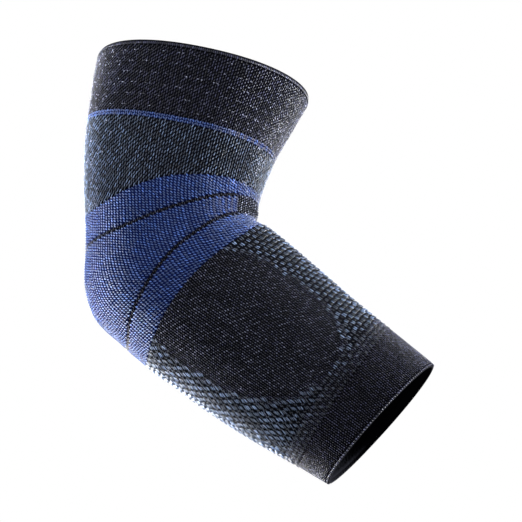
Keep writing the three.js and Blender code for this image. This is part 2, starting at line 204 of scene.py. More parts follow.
class Sleeve:
    """The sleeve's surface and its zones' edges, worked out from the sizes. Lengths are in metres."""

    def __init__(self, shape):
        self.shape = shape
        elbow_length = shape.elbow_radius * shape.elbow_angle
        lengths = (shape.upper_length, elbow_length, shape.forearm_length)
        self.starts = (0.0, lengths[0], lengths[0] + lengths[1])
        self.lengths = lengths
        self.turns = (0.0, shape.elbow_angle, -shape.forearm_setback)
        self.total = sum(lengths)
        self.pivot_height = shape.upper_length + shape.elbow_radius * math.tan(shape.elbow_angle / 2)
        widths = (shape.upper_half_width, shape.elbow_half_width, shape.forearm_half_width)
        self.stations = np.array([self.starts[r["leg"]] + r["share"] * lengths[r["leg"]] for r in SECTIONS])
        self.widths = {
            side: np.array([row[side] * widths[row["leg"]] for row in SECTIONS])
            for side in ("outer", "inner", "side")}

    def axis(self, s):
        """x, z and heading of the axis, s metres from the upper rim; heading 0 points straight down."""
        x, z, heading = np.zeros_like(s), np.full_like(s, self.pivot_height), np.zeros_like(s)
        for start, span, turn in zip(self.starts, self.lengths, self.turns):
            t = np.clip(s - start, 0, span)
            half = turn * t / span / 2
            chord = t * np.sinc(half / np.pi)
            x = x + chord * np.sin(heading + half)
            z = z - chord * np.cos(heading + half)
            heading = heading + 2 * half
        return x, z, heading

    def surface(self, s, around, height=0.0):
        """Points of the surface: around in degrees from the elbow's tip through the front (-Y)."""
        s, around = np.broadcast_arrays(np.asarray(s, float), np.asarray(around, float))
        x, z, heading = self.axis(s)
        cos, sin = np.cos(np.radians(around)), np.sin(np.radians(around))
        power = 2 / self.shape.fullness
        outer = smooth(self.stations, self.widths["outer"], s)
        inner = smooth(self.stations, self.widths["inner"], s)
        side = smooth(self.stations, self.widths["side"], s) + height
        inward = -(np.where(cos >= 0, outer, inner) + height) * np.sign(cos) * np.abs(cos) ** power
        across = -side * np.sign(sin) * np.abs(sin) ** power
        return np.stack((x + np.cos(heading) * inward, across, z + np.sin(heading) * inward), axis=-1)

    def shift(self, s, around, distance):
        """Place that lies distance further down the surface."""
        probe = 0.5 * MM
        step = self.surface(s + probe, around) - self.surface(s - probe, around)
        return s + distance * 2 * probe / np.linalg.norm(step, axis=-1)

    def gore_line(self, column, around):
        angles = np.array([row["angle"] for row in GORE_LINES], float)
        places = np.array([row[column] for row in GORE_LINES])
        folded = 180 - np.abs(180 - np.mod(around, 360))
        place = smooth(angles, places, folded, level_ends=True)
        leg = np.clip(np.floor(place), 0, 2).astype(int)
        return np.array(self.starts)[leg] + (place - leg) * np.array(self.lengths)[leg]

    def edge(self, name, around):
        """Place of a zone's edge at each angle."""
        shape = self.shape
        around = np.asarray(around, float)
        sin = np.abs(np.sin(np.radians(around)))
        flat = np.zeros_like(around)
        if name == "upper_rim":
            return flat
        if name == "upper_hem":
            return flat + shape.upper_hem
        if name == "stripe_top":
            return shape.stripe_distance + shape.stripe_dip * sin
        if name == "stripe_end":
            return self.shift(self.edge("stripe_top", around), around, shape.stripe)
        if name == "cuff_top":
            return self.total - shape.cuff_length - shape.cuff_gain * (1 - np.cos(np.radians(around))) / 2
        if name == "lower_hem":
            return flat + self.total - shape.lower_hem
        if name == "lower_rim":
            return flat + self.total
        return self.gore_line(name, around)

    def frame_at(self, s, around):
        """Point, outward normal and direction down the sleeve at each place."""
        ds, da = 0.4 * MM, 0.4
        point = self.surface(s, around)
        down = self.surface(s + ds, around) - self.surface(s - ds, around)
        side = self.surface(s, around + da) - self.surface(s, around - da)
        normal = np.cross(down, side)
        unit = lambda v: v / np.linalg.norm(v, axis=-1, keepdims=True)
        return point, unit(normal), unit(down), np.linalg.norm(side, axis=-1) / (2 * da)


def smooth(keys, values, x, level_ends=False):
    """Smooth curve through a table, with the mean of the neighbouring slopes at each row."""
    steps = np.diff(keys)
    slopes = np.diff(values) / steps
    tangents = np.empty_like(values)
    tangents[0], tangents[-1] = (0.0, 0.0) if level_ends else (slopes[0], slopes[-1])
    tangents[1:-1] = (slopes[:-1] * steps[:-1] + slopes[1:] * steps[1:]) / (steps[:-1] + steps[1:])
    i = np.clip(np.searchsorted(keys, x, side="right") - 1, 0, len(keys) - 2)
    t = np.clip((x - keys[i]) / steps[i], 0, 1)
    rise = (1 - t) ** 2 * (1 + 2 * t) * values[i] + t ** 2 * (3 - 2 * t) * values[i + 1]
    return rise + steps[i] * t * (1 - t) * ((1 - t) * tangents[i] - t * tangents[i + 1])


# Gap between two zones, the spacing of a ground wall's columns in degrees and of its rows, and the
# number of rows that round a hem's bulge
HAIRLINE = 0.05 * MM
WALL_COLUMN = 3.0
WALL_ROW = 3.0 * MM
HEM_ROWS = 8

# Steps in which the surface is measured: degrees round a zone, and points down a column of stitches.
# Staggered columns lie this share of a row higher or lower.
RING_STEP, COLUMN_POINTS, STAGGER = 0.5, 80, 0.25


class Zone:
    """One zone of the knit: between two edges, over a whole turn or an arc of it."""

    def __init__(
            self, sleeve, start, end, height=0.0, bulge=0.0, arc=None, start_gap=None, end_gap=None):
        self.sleeve, self.start_name, self.end_name = sleeve, start, end
        self.height, self.bulge, self.arc = height, bulge, arc
        self.start_gap = start_gap or (lambda around: HAIRLINE / 2)
        self.end_gap = end_gap or (lambda around: HAIRLINE / 2)

    def start(self, around):
        edge = self.sleeve.edge(self.start_name, around)
        if self.start_name == "upper_rim":
            return edge
        return self.sleeve.shift(edge, around, self.start_gap(around))

    def end(self, around):
        edge = self.sleeve.edge(self.end_name, around)
        if self.end_name == "lower_rim":
            return edge
        return self.sleeve.shift(edge, around, -self.end_gap(around))

    def angles(self, step):
        first, last = self.arc or (0.0, 360.0)
        count = max(2, round((last - first) / step))
        return np.linspace(first, last, count + 1)

    def wall(self, ground):
        """Closed wall mesh whose outer face lies ground deep under the zone's surface."""
        around = self.angles(WALL_COLUMN)
        start, end = self.start(around), self.end(around)
        rows = max(HEM_ROWS if self.bulge else 2, math.ceil((end - start).max() / WALL_ROW))
        t = np.linspace(0, 1, rows + 1)[:, None]
        s = start + t * (end - start)
        rise = self.height - ground + self.bulge * np.sin(np.pi * t)
        outside = self.sleeve.surface(s, around, rise)
        inside = self.sleeve.surface(s, around, -self.sleeve.shape.wall)
        return grid_solid(outside, inside, closed=self.arc is None)

    def lattice(self, wale, course, stagger=False, keep=None):
        """Places of stitches in columns down the zone: each column holds as many whole rows as fit."""
        around = self.angles(RING_STEP)
        middle = (self.start(around) + self.end(around)) / 2
        ring = self.sleeve.surface(middle, around)
        walked = np.concatenate(([0], np.cumsum(np.linalg.norm(np.diff(ring, axis=0), axis=1))))
        count = max(2, 2 * round(walked[-1] / wale / 2))
        columns = np.interp((np.arange(count) + 0.5) * walked[-1] / count, walked, around)
        points = []
        for index, column in enumerate(columns):
            s = np.linspace(float(self.start(column)), float(self.end(column)), COLUMN_POINTS)
            down = self.sleeve.surface(s, column)
            gone = np.concatenate(([0], np.cumsum(np.linalg.norm(np.diff(down, axis=0), axis=1))))
            rows = max(1, round(gone[-1] / course))
            pitch = gone[-1] / rows
            drop = STAGGER * (1 if index % 2 else -1) if stagger else 0.0
            reach = (np.arange(rows) + 0.5 + drop) * pitch
            for row, place in enumerate(reach):
                points.append((np.interp(place, gone, s), column, index, row, pitch, gone[-1] - place))
        s, column, index, row, pitch, left = (np.array(values) for values in zip(*points))
        if keep is not None:
            kept = keep(s, column)
            s, column, index, row, pitch, left = (v[kept] for v in (s, column, index, row, pitch, left))
        point, normal, down, per_degree = self.sleeve.frame_at(s, column)
        spacing = np.gradient(columns)[index.astype(int)] * per_degree
        return {
            "point": point + normal * self.height, "out": normal, "down": down,
            "scale": np.stack((spacing / wale, pitch / course, np.ones_like(s)), axis=-1),
            "index": index.astype(int), "row": row.astype(int), "s": s, "around": column, "left": left}


def grid_solid(outside, inside, closed):
    """Points and faces of the closed mesh between two grids with the same rows and columns."""
    rows, columns = outside.shape[:2]
    if closed:
        outside, inside, columns = outside[:, :-1], inside[:, :-1], columns - 1
    points = np.concatenate((outside.reshape(-1, 3), inside.reshape(-1, 3)))
    last = rows - 1
    faces = []

    def quad(*corners):
        faces.append(tuple(
            (face * rows + row) * columns + column % columns for face, row, column in corners))

    for a in range(columns if closed else columns - 1):
        b = a + 1
        for row in range(last):
            quad((0, row, a), (0, row + 1, a), (0, row + 1, b), (0, row, b))
            quad((1, row, a), (1, row, b), (1, row + 1, b), (1, row + 1, a))
        quad((0, 0, a), (0, 0, b), (1, 0, b), (1, 0, a))
        quad((0, last, a), (1, last, a), (1, last, b), (0, last, b))
    if not closed:
        side = columns - 1
        for row in range(last):
            quad((0, row, 0), (1, row, 0), (1, row + 1, 0), (0, row + 1, 0))
            quad((0, row, side), (0, row + 1, side), (1, row + 1, side), (1, row, side))
    return points, faces


# Rings and sides of the oval's mesh
OVAL_RINGS, OVAL_SIDES = 14, 120


class Oval:
    """The smooth oval on the forearm's front, which the gores cut off straight."""

    def __init__(self, sleeve, margin=0.0):
        shape = sleeve.shape
        self.sleeve, self.power = sleeve, shape.oval_fullness
        self.middle = math.degrees(shape.oval_angle)
        top = float(sleeve.shift(sleeve.edge("end", self.middle), self.middle, -shape.oval_under_gore))
        end = float(sleeve.shift(sleeve.edge("cuff_top", self.middle), self.middle, -shape.oval_to_cuff))
        self.centre, self.half = (top + end) / 2, (end - top) / 2 + margin
        self.spread = math.degrees(shape.oval_half_spread) + math.degrees(margin / shape.forearm_half_width)
        self.lean = math.degrees(shape.oval_lean)

    def outline(self, radius, turn):
        """Place and angle of points of the oval: radius 1 is its edge, turn goes round it."""
        bend = lambda value: np.sign(value) * np.abs(value) ** (2 / self.power)
        down, across = radius * bend(np.cos(turn)), radius * bend(np.sin(turn))
        return self.centre + down * self.half, self.middle + self.lean * down + self.spread * across

    def reach(self, turn):
        """Radius at which each direction meets the gores or the oval's own edge."""
        near, far = np.zeros_like(turn), np.ones_like(turn)
        for _ in range(24):
            radius = (near + far) / 2
            s, around = self.outline(radius, turn)
            free = s > self.sleeve.edge("end", around) + HAIRLINE / 2
            near, far = np.where(free, radius, near), np.where(free, far, radius)
        return near

    def depth(self, s, around):
        """0 at the oval's middle, 1 at its edge and more outside it."""
        down = (s - self.centre) / self.half
        across = (around - self.middle - self.lean * down) / self.spread
        return (np.abs(down) ** self.power + np.abs(across) ** self.power) ** (1 / self.power)


def add_node(tree, kind, settings=None, inputs=None):
    """Adds a node with its settings; each input is a value or another node's output."""
    node = tree.nodes.new(kind)
    for key, value in (settings or {}).items():
        setattr(node, key, value)
    for key, value in (inputs or {}).items():
        if isinstance(value, bpy.types.NodeSocket):
            tree.links.new(value, node.inputs[key])
        else:
            node.inputs[key].default_value = value
    return node


def maths(tree, operation, *values):
    """Output of a math node; each value is a number or another node's output."""
    inputs = dict(enumerate(values))
    return add_node(tree, "ShaderNodeMath", {"operation": operation}, inputs).outputs["Value"]


def scaled(tree, shade, factor):
    """Output of a node that makes a colour brighter or darker."""
    inputs = {0: shade, "Scale": factor}
    return add_node(tree, "ShaderNodeVectorMath", {"operation": "SCALE"}, inputs).outputs["Vector"]


def noise(tree, place, size, detail):
    """Output of a noise in object space, with spots of the given size in metres."""
    inputs = {"Vector": place.outputs["Object"], "Scale": 1 / size, "Detail": detail}
    return add_node(tree, "ShaderNodeTexNoise", inputs=inputs).outputs["Fac"]


def attribute(tree, name):
    """Output of a value that each stitch carries."""
    return add_node(tree, "ShaderNodeAttribute", {"attribute_name": name}).outputs["Fac"]


def new_material(name):
    material = bpy.data.materials.new(name)
    material.use_nodes = True
    material.node_tree.nodes.clear()
    return material, material.node_tree


# Sizes in the yarns' materials: single fibres, patches of uneven dye, and the depths of the bumps
FIBRE_SIZE, GROUND_FIBRE, DYE_PATCH = 0.35 * MM, 0.4 * MM, 9 * MM
STRAND_BUMP, MESH_BUMP = 0.12 * MM, 0.25 * MM

# How a noise of 0 to 1 becomes a brightness: factor and start, for the dye, the fibres and the ground
DYE_SHADES, FIBRE_SHADES, GROUND_SHADES = (0.5, 0.75), (0.6, 0.7), (0.9, 0.55)


def finish_material(tree, base, height, bump, roughness, gloss, sheen, shine):
    """Ends a yarn material: slightly glossy fibre with a fine bump and a soft fuzz at grazing angles."""
    raised = add_node(tree, "ShaderNodeBump", inputs={"Height": height, "Strength": 1.0, "Distance": bump})
    fibre = add_node(tree, "ShaderNodeBsdfPrincipled", inputs={
        "Base Color": base, "Normal": raised.outputs["Normal"], "Roughness": roughness,
        "Specular IOR Level": gloss, "Sheen Weight": sheen, "Sheen Roughness": 0.4, "Sheen Tint": shine})
    add_node(tree, "ShaderNodeOutputMaterial", inputs={"Surface": fibre.outputs["BSDF"]})


def plied_yarn(name, main, second, roughness, gloss, sheen, variation):
    """Plied polyamide yarn: strands, uneven dye and stitches that differ a little in brightness."""
    material, tree = new_material(name)
    place = add_node(tree, "ShaderNodeTexCoord")
    fibres = noise(tree, place, FIBRE_SIZE, 2.0)
    dye = noise(tree, place, DYE_PATCH, 3.0)
    fleck, tint = attribute(tree, "fleck"), attribute(tree, "tint")
    yarn = add_node(tree, "ShaderNodeMix", {"data_type": "RGBA"})
    tree.links.new(fleck, yarn.inputs["Factor"])
    # The mix node's two colours have numbers, as its sockets for other kinds have the same names
    yarn.inputs[6].default_value, yarn.inputs[7].default_value = tuple(main), tuple(second)
    uneven_dye = maths(tree, "MULTIPLY_ADD", dye, *DYE_SHADES)
    strands = maths(tree, "MULTIPLY_ADD", fibres, *FIBRE_SHADES)
    # The square of the tint makes bright stitches rare; its mean is a third, hence the 3
    rare = maths(tree, "POWER", tint, 2.0)
    each = maths(tree, "MULTIPLY_ADD", rare, 3 * variation, 1 - variation)
    brightness = maths(tree, "MULTIPLY", maths(tree, "MULTIPLY", uneven_dye, strands), each)
    shaded = scaled(tree, yarn.outputs[2], brightness)
    shine = tuple(bpy.context.scene.brace_yarns.shine)
    finish_material(tree, shaded, fibres, STRAND_BUMP, roughness, gloss, sheen, shine)
    return material


def elastic_ground(name, main):
    """Covered elastic ground yarn: the tight, dark mesh under the stitches and inside the sleeve."""
    knit = bpy.context.scene.brace_knit
    material, tree = new_material(name)
    place = add_node(tree, "ShaderNodeTexCoord")
    mesh = add_node(tree, "ShaderNodeTexVoronoi", inputs={
        "Vector": place.outputs["Object"], "Scale": 1 / knit.course})
    level = maths(tree, "MULTIPLY_ADD", noise(tree, place, GROUND_FIBRE, 2.0), *GROUND_SHADES)
    shaded = scaled(tree, tuple(main)[:3], level)
    finish_material(
        tree, shaded, mesh.outputs["Distance"], MESH_BUMP, roughness=1.0, gloss=0.05, sheen=0.0,
        shine=tuple(main))
    return material


YARNS = {}


def yarns():
    """The sleeve's yarns, made once."""
    if not YARNS:
        colours, knit = bpy.context.scene.brace_yarns, bpy.context.scene.brace_knit
        # Black elastic, matt and deep: it makes the gaps between the stitches read as dark
        YARNS["ground"] = elastic_ground("elastic_ground_yarn", colours.ground)
        # The same elastic in dark blue, so that the gores stay blue in their gaps
        YARNS["rib_ground"] = elastic_ground("elastic_blue_ground_yarn", colours.rib_ground)
        # Near black fine yarn with single grey stitches: reads as dark with a faint sparkle of flecks
        YARNS["navy"] = plied_yarn(
            "fine_navy_polyamide", colours.navy, colours.fleck, roughness=0.35, gloss=0.5, sheen=0.05,
            variation=knit.variation)
        # Grey blue yarn over a black ground: its long stitches catch the side light as pale lozenges
        YARNS["slate"] = plied_yarn(
            "relief_slate_polyamide", colours.slate, colours.ground, roughness=0.35, gloss=0.9,
            sheen=0.08, variation=knit.relief_variation)
        # Saturated royal blue: bright legs over navy gaps, going pale blue where light grazes it
        YARNS["royal"] = plied_yarn(
            "rib_royal_polyamide", colours.royal, colours.navy, roughness=0.38, gloss=1.0, sheen=0.42,
            variation=knit.rib_variation)
    return YARNS


# Vectors that a lattice's points carry: away from the surface, down the sleeve, and the stitch's scale
VECTORS = ("out", "down", "scale")


def stitch_tree():
    """Geometry Nodes that knit stitches onto the places of a lattice object."""
    name = "Knit Stitches"
    if name in bpy.data.node_groups:
        return bpy.data.node_groups[name]
    tree = bpy.data.node_groups.new(name, "GeometryNodeTree")
    sockets = (
        ("Wall", "NodeSocketGeometry", None), ("Lattice", "NodeSocketObject", None),
        ("Leg Width", "NodeSocketFloat", 1 * MM), ("Leg Length", "NodeSocketFloat", 2 * MM),
        ("Leg Thickness", "NodeSocketFloat", 0.6 * MM), ("Tuck", "NodeSocketFloat", 0.2),
        ("Sides", "NodeSocketInt", 5), ("Rings", "NodeSocketInt", 3),
        ("Seed", "NodeSocketInt", 1), ("Yarn", "NodeSocketMaterial", None))
    for label, kind, default in sockets:
        socket = tree.interface.new_socket(label, in_out="INPUT", socket_type=kind)
        if default is not None:
            socket.default_value = default
    tree.interface.new_socket("Knit", in_out="OUTPUT", socket_type="NodeSocketGeometry")
    given = tree.nodes.new("NodeGroupInput").outputs
    size = add_node(tree, "ShaderNodeCombineXYZ", inputs={
        "X": given["Leg Width"], "Y": given["Leg Thickness"], "Z": given["Leg Length"]})
    ball = add_node(tree, "GeometryNodeMeshUVSphere", inputs={
        "Segments": given["Sides"], "Rings": given["Rings"], "Radius": 0.5})
    round_ball = add_node(tree, "GeometryNodeSetShadeSmooth", inputs={"Geometry": ball.outputs["Mesh"]})
    leg = add_node(tree, "GeometryNodeTransform", inputs={
        "Geometry": round_ball.outputs["Geometry"], "Rotation": (math.pi / 2, 0, 0),
        "Scale": size.outputs["Vector"]})
    turn = add_node(tree, "ShaderNodeCombineXYZ", inputs={"X": given["Tuck"]})
    stitch = add_node(tree, "GeometryNodeTransform", inputs={
        "Geometry": leg.outputs["Geometry"], "Rotation": turn.outputs["Vector"]})
    places = add_node(tree, "GeometryNodeObjectInfo", inputs={"Object": given["Lattice"]})
    vectors = {}
    for label in VECTORS:
        settings = {"data_type": "FLOAT_VECTOR"}
        named = add_node(tree, "GeometryNodeInputNamedAttribute", settings, {"Name": label})
        vectors[label] = named.outputs["Attribute"]
    facing = add_node(tree, "FunctionNodeAlignRotationToVector", {"axis": "Z"}, {"Vector": vectors["out"]})
    turned = add_node(tree, "FunctionNodeAlignRotationToVector", {"axis": "Y", "pivot_axis": "Z"}, {
        "Rotation": facing.outputs["Rotation"], "Vector": vectors["down"]})
    knit = add_node(tree, "GeometryNodeInstanceOnPoints", inputs={
        "Points": places.outputs["Geometry"], "Instance": stitch.outputs["Geometry"],
        "Rotation": turned.outputs["Rotation"], "Scale": vectors["scale"]})
    chance = add_node(tree, "FunctionNodeRandomValue", {"data_type": "FLOAT"}, {"Seed": given["Seed"]})
    per_stitch = {"data_type": "FLOAT", "domain": "INSTANCE"}
    tinted = add_node(tree, "GeometryNodeStoreNamedAttribute", per_stitch, {
        "Geometry": knit.outputs["Instances"], "Name": "tint", "Value": chance.outputs[1]})
    real = add_node(tree, "GeometryNodeRealizeInstances", inputs={"Geometry": tinted.outputs["Geometry"]})
    dyed = add_node(tree, "GeometryNodeSetMaterial", inputs={
        "Geometry": real.outputs["Geometry"], "Material": given["Yarn"]})
    whole = add_node(tree, "GeometryNodeJoinGeometry")
    tree.links.new(dyed.outputs["Geometry"], whole.inputs["Geometry"])
    tree.links.new(given["Wall"], whole.inputs["Geometry"])
    add_node(tree, "NodeGroupOutput", inputs={"Knit": whole.outputs["Geometry"]})
    return tree


def mesh_object(name, points, faces, material=None):
    mesh = bpy.data.meshes.new(name)
    mesh.from_pydata([tuple(point) for point in points], [], faces)
    mesh.update()
    if material:
        mesh.materials.append(material)
    mesh.shade_smooth()
    thing = bpy.data.objects.new(name, mesh)
    bpy.context.scene.collection.objects.link(thing)
    return thing


def lattice_object(name, lattice, fleck):
    """Points for the stitches, with their directions, sizes and the share of the second yarn."""
    thing = mesh_object(name, lattice["point"], [])
    for label in VECTORS:
        carried = thing.data.attributes.new(label, "FLOAT_VECTOR", "POINT")
        carried.data.foreach_set("vector", lattice[label].astype(np.float32).ravel())
    carried = thing.data.attributes.new("fleck", "FLOAT", "POINT")
    carried.data.foreach_set("value", fleck.astype(np.float32))
    return thing


def knit_onto(piece, lattice, fleck, sizes):
    """Adds a layer of stitches to a piece and turns it into a plain mesh."""
    tree = stitch_tree()
    places = lattice_object(piece.name + "_places", lattice, fleck)
    layer = piece.modifiers.new("Knit", "NODES")
    layer.node_group = tree
    sockets = {item.name: item.identifier for item in tree.interface.items_tree if item.in_out == "INPUT"}
    for label, value in {"Lattice": places, **sizes}.items():
        layer[sockets[label]] = value
    bpy.context.view_layer.update()
    graph = bpy.context.evaluated_depsgraph_get()
    plain = bpy.data.meshes.new_from_object(
        piece.evaluated_get(graph), preserve_all_data_layers=True, depsgraph=graph)
    plain.name = piece.name
    piece.modifiers.remove(layer)
    piece.data = plain
    for label in VECTORS:
        if label in plain.attributes:
            plain.attributes.remove(plain.attributes[label])
    bpy.data.objects.remove(places)


# Steps of the seed, so that each kind of stitch gets small differences of its own
STEPS = {
    "smooth": 1, "cuff": 2, "spots": 3, "rib": 4, "stripe": 4, "dash": 5, "crook": 6,
    "cuff_highlight_specks": 8, "relief_highlight_specks": 9, "gore_highlight_specks": 11, "lozenges": 12}

# Legs of each kind of stitch: width as a share of the pitch across, length as a share of that along
LEGS = {
    "smooth": (0.45, 0.9), "cuff": (0.45, 1.05), "rib": (0.4, 1.2), "crook": (0.36, 1.3),
    "stripe": (0.56, 0.55), "dash": (0.37, 1.1), "hem": (0.8, 0.7)}

# Changes round the sleeve: two angles from the elbow's tip, in degrees, and the amount past the second
CHANGES = {
    # Painted highlights: light specks on the elbow's tip side, which the key light catches, and in the
    # crook, which the rim light catches
    "painted highlights at the tip": (20, 50, 0.15), "painted highlights in the crook": (105, 150, 0.15),
    "stripe's blocks": (95, 125, 1.0), "rest of the stripe": (130, 170, 0.4),
    "upper relief": (60, 140, 0.5), "gores' tails": (125, 165, 0.5), "middle gore": (90, 130, 0.85)}

# Share of the second yarn in every other stitch of a kind, and in the upper cuff's flecks
CROOK_LIGHT, MESH_LIGHT, FLECK_LIGHT = 0.75, 0.4, 0.8
DASH_DARK, LOZENGE_DARK = 0.55, 0.8

# Towards the lower cuff: how dark the relief gets and how much smaller, and where smooth knit sets in
CUFF_DARK, CUFF_SHRINK, SMOOTH_START = 0.85, 0.35, 0.6

# Edge of the lozenges and of the smooth border round the oval, in pitches of the lozenges
LOZENGE_EDGE, OVAL_BORDER = 0.4, 1.8

# Single light stitches, the cuff's grey flecks and the specks of painted highlight: width, length and how
# far they lie over the rest of the knit
SPOT_WIDTH, SPOT_LENGTH, SPOT_LIFT = 1.0 * MM, 0.6 * MM, 0.25 * MM
SPECK_WIDTH, SPECK_LENGTH, SPECK_LIFT = 0.55 * MM, 0.9 * MM, 0.15 * MM

# Turn of a speck either way, in radians, and thickness of the forearm relief's strands
SPECK_TURN = 0.8
STRAND = 0.5 * MM

# A row pitch longer than any hem is wide, and the hems' pitches between legs
ONE_ROW = 100 * MM
UPPER_HEM_PITCH, LOWER_HEM_PITCH = 1.1 * MM, 1.6 * MM


def stitch(width, tall, thickness, yarn, sides=5, rings=3, seed_step=0):
    """Inputs of the stitch nodes for one kind of stitch."""
    knit = bpy.context.scene.brace_knit
    return {
        "Leg Width": width, "Leg Length": tall, "Leg Thickness": thickness, "Tuck": knit.tuck,
        "Sides": sides, "Rings": rings, "Seed": knit.seed + seed_step, "Yarn": yarns()[yarn]}


def leg_stitch(kind, across, along, yarn, **more):
    """Inputs of the stitch nodes for one kind of leg, from the pitches of its lattice."""
    width, tall = LEGS[kind]
    return stitch(width * across, tall * along, bpy.context.scene.brace_knit.yarn, yarn, **more)


def turned(lattice, turn):
    """Turns each stitch about its normal, by radians."""
    side = np.cross(lattice["out"], lattice["down"])
    turn = np.broadcast_to(turn, lattice["s"].shape)[:, None]
    lattice["down"] = np.cos(turn) * lattice["down"] + np.sin(turn) * side
    return lattice


def bundled(lattice, count, across, along):
    """Splits each place into strands side by side, each set off across and along the last one."""
    split = {key: np.repeat(values, count, axis=0) for key, values in lattice.items()}
    step = np.tile(np.arange(count) - (count - 1) / 2, len(lattice["s"]))[:, None]
    side = np.cross(split["out"], split["down"]) * split["scale"][:, :1]
    down = split["down"] * split["scale"][:, 1:2]
    split["point"] = split["point"] + step * (across * side + along * down)
    return split


def chosen(lattice, which):
    """The places of a lattice for which which is true."""
    return {key: values[which] for key, values in lattice.items()}


def uneven(lattice, step):
    """Shifts, turns and stretches every stitch a little, as hand and wear leave them."""
    knit = bpy.context.scene.brace_knit
    chance = np.random.default_rng(knit.seed + step)
    across, along, turn, tall = chance.uniform(-1, 1, (4, len(lattice["s"])))
    side = np.cross(lattice["out"], lattice["down"])
    lattice["point"] = lattice["point"] + knit.jitter * (
        across[:, None] * side + along[:, None] * lattice["down"])
    lattice["scale"][:, 1] *= 1 + 0.2 * tall
    return turned(lattice, knit.wobble * turn)


def smooth_knit(zone, fleck, keep=None):
    """Smooth knit of fine upright legs, which draw thin lines along the sleeve."""
    knit = bpy.context.scene.brace_knit
    lattice = zone.lattice(knit.fine_wale, knit.fine_course, stagger=True, keep=keep)
    lattice = uneven(lattice, STEPS["smooth"])
    leg = leg_stitch("smooth", knit.fine_wale, knit.fine_course, "navy", sides=4)
    return [(lattice, fleck(lattice), leg)]


def cuff_knit(zone):
    """Upper cuff: fine columns of slightly slanted stitches, and grey flecks in pairs over them."""
    knit = bpy.context.scene.brace_knit
    columns = turned(zone.lattice(knit.wale, knit.cuff_course, stagger=True), -knit.cuff_lean)
    columns = uneven(columns, STEPS["cuff"])
    leg = leg_stitch("cuff", knit.wale, knit.cuff_course, "navy", sides=4)
    spots = zone.lattice(knit.fleck_wale, knit.fleck_course)
    spots = uneven(chosen(spots, (spots["index"] + spots["row"]) % 4 < 2), STEPS["spots"])
    spots["point"] = spots["point"] + SPOT_LIFT * spots["out"]
    spot = stitch(SPOT_WIDTH, SPOT_LENGTH, knit.yarn, "navy", sides=4, seed_step=1)
    return [(columns, plain(columns), leg), (spots, all_flecks(spots), spot)]


def rib_knit(zone, fleck):
    """Blue knit of short slanted stitches that stand clear of each other like bricks."""
    knit = bpy.context.scene.brace_knit
    lattice = turned(zone.lattice(knit.rib_wale, knit.rib_course, stagger=True), knit.rib_lean)
    lattice = uneven(lattice, STEPS["rib"])
    leg = leg_stitch("rib", knit.rib_wale, knit.rib_course, "royal", rings=4)
    return [(lattice, fleck(lattice), leg)]


def crook_knit(zone):
    """Knit bunched up in the crook: slanted stitches, light and dark columns by turns."""
    knit = bpy.context.scene.brace_knit
    lattice = turned(zone.lattice(knit.rib_wale, knit.rib_course, stagger=True), -knit.rib_lean)
    lattice = uneven(lattice, STEPS["crook"])
    light = CROOK_LIGHT * (lattice["index"] % 2)
    leg = leg_stitch("crook", knit.rib_wale, knit.rib_course, "navy")
    return [(lattice, light, leg)]


def stripe_knit(zone, fleck, width):
    """Bright stripe: two rows of blue stitches whose legs lean against each other."""
    knit = bpy.context.scene.brace_knit
    lattice = zone.lattice(knit.wale, width / 2)
    lattice = turned(lattice, np.where(lattice["index"] % 2, 1, -1) * knit.stripe_lean)
    lattice = uneven(lattice, STEPS["stripe"])
    leg = leg_stitch("stripe", knit.wale, width, "royal")
    return [(lattice, fleck(lattice), leg)]


def painted_highlight_specks(zone, share, kind):
    """Painted highlights: single light stitches scattered over a zone where the side lights catch the knit.
    """
    knit = bpy.context.scene.brace_knit
    lattice, step = zone.lattice(knit.wale, knit.course), STEPS[kind]
    chance = np.random.default_rng(knit.seed + step)
    lattice = chosen(lattice, chance.random(len(lattice["s"])) < share(lattice))
    lattice = turned(uneven(lattice, step), chance.uniform(-SPECK_TURN, SPECK_TURN, len(lattice["s"])))
    lattice["point"] = lattice["point"] + SPECK_LIFT * lattice["out"]
    speck = stitch(SPECK_WIDTH, SPECK_LENGTH, knit.yarn, "navy", sides=4, seed_step=step)
    return [(lattice, np.ones(len(lattice["s"])), speck)]


def lit_crook_share(lattice):
    """Share of painted highlight stitches: only in the crook, which the rim light catches."""
    return change(lattice, "painted highlights in the crook")


def lit_tip_and_crook_share(lattice):
    """Share of painted highlight stitches: most in the crook, some along the elbow's tip side, where the
    lights catch the knit.
    """
    low, high, amount = CHANGES["painted highlights at the tip"]
    return lit_crook_share(lattice) + amount * (1 - ramp(folded(lattice), low, high))


def dash_knit(zone, fleck):
    """Relief of the upper arm: nearly upright strands, light and dark like a chequerboard."""
    knit = bpy.context.scene.brace_knit
    lattice = turned(zone.lattice(knit.dash_wale, knit.dash_course, stagger=True), -knit.dash_lean)
    lattice = uneven(lattice, STEPS["dash"])
    dark = DASH_DARK * ((lattice["index"] // 2 + lattice["row"]) % 2)
    strand = leg_stitch("dash", knit.dash_wale, knit.dash_course, "slate", sides=4, seed_step=1)
    return [(lattice, np.maximum(fleck(lattice), dark), strand)]


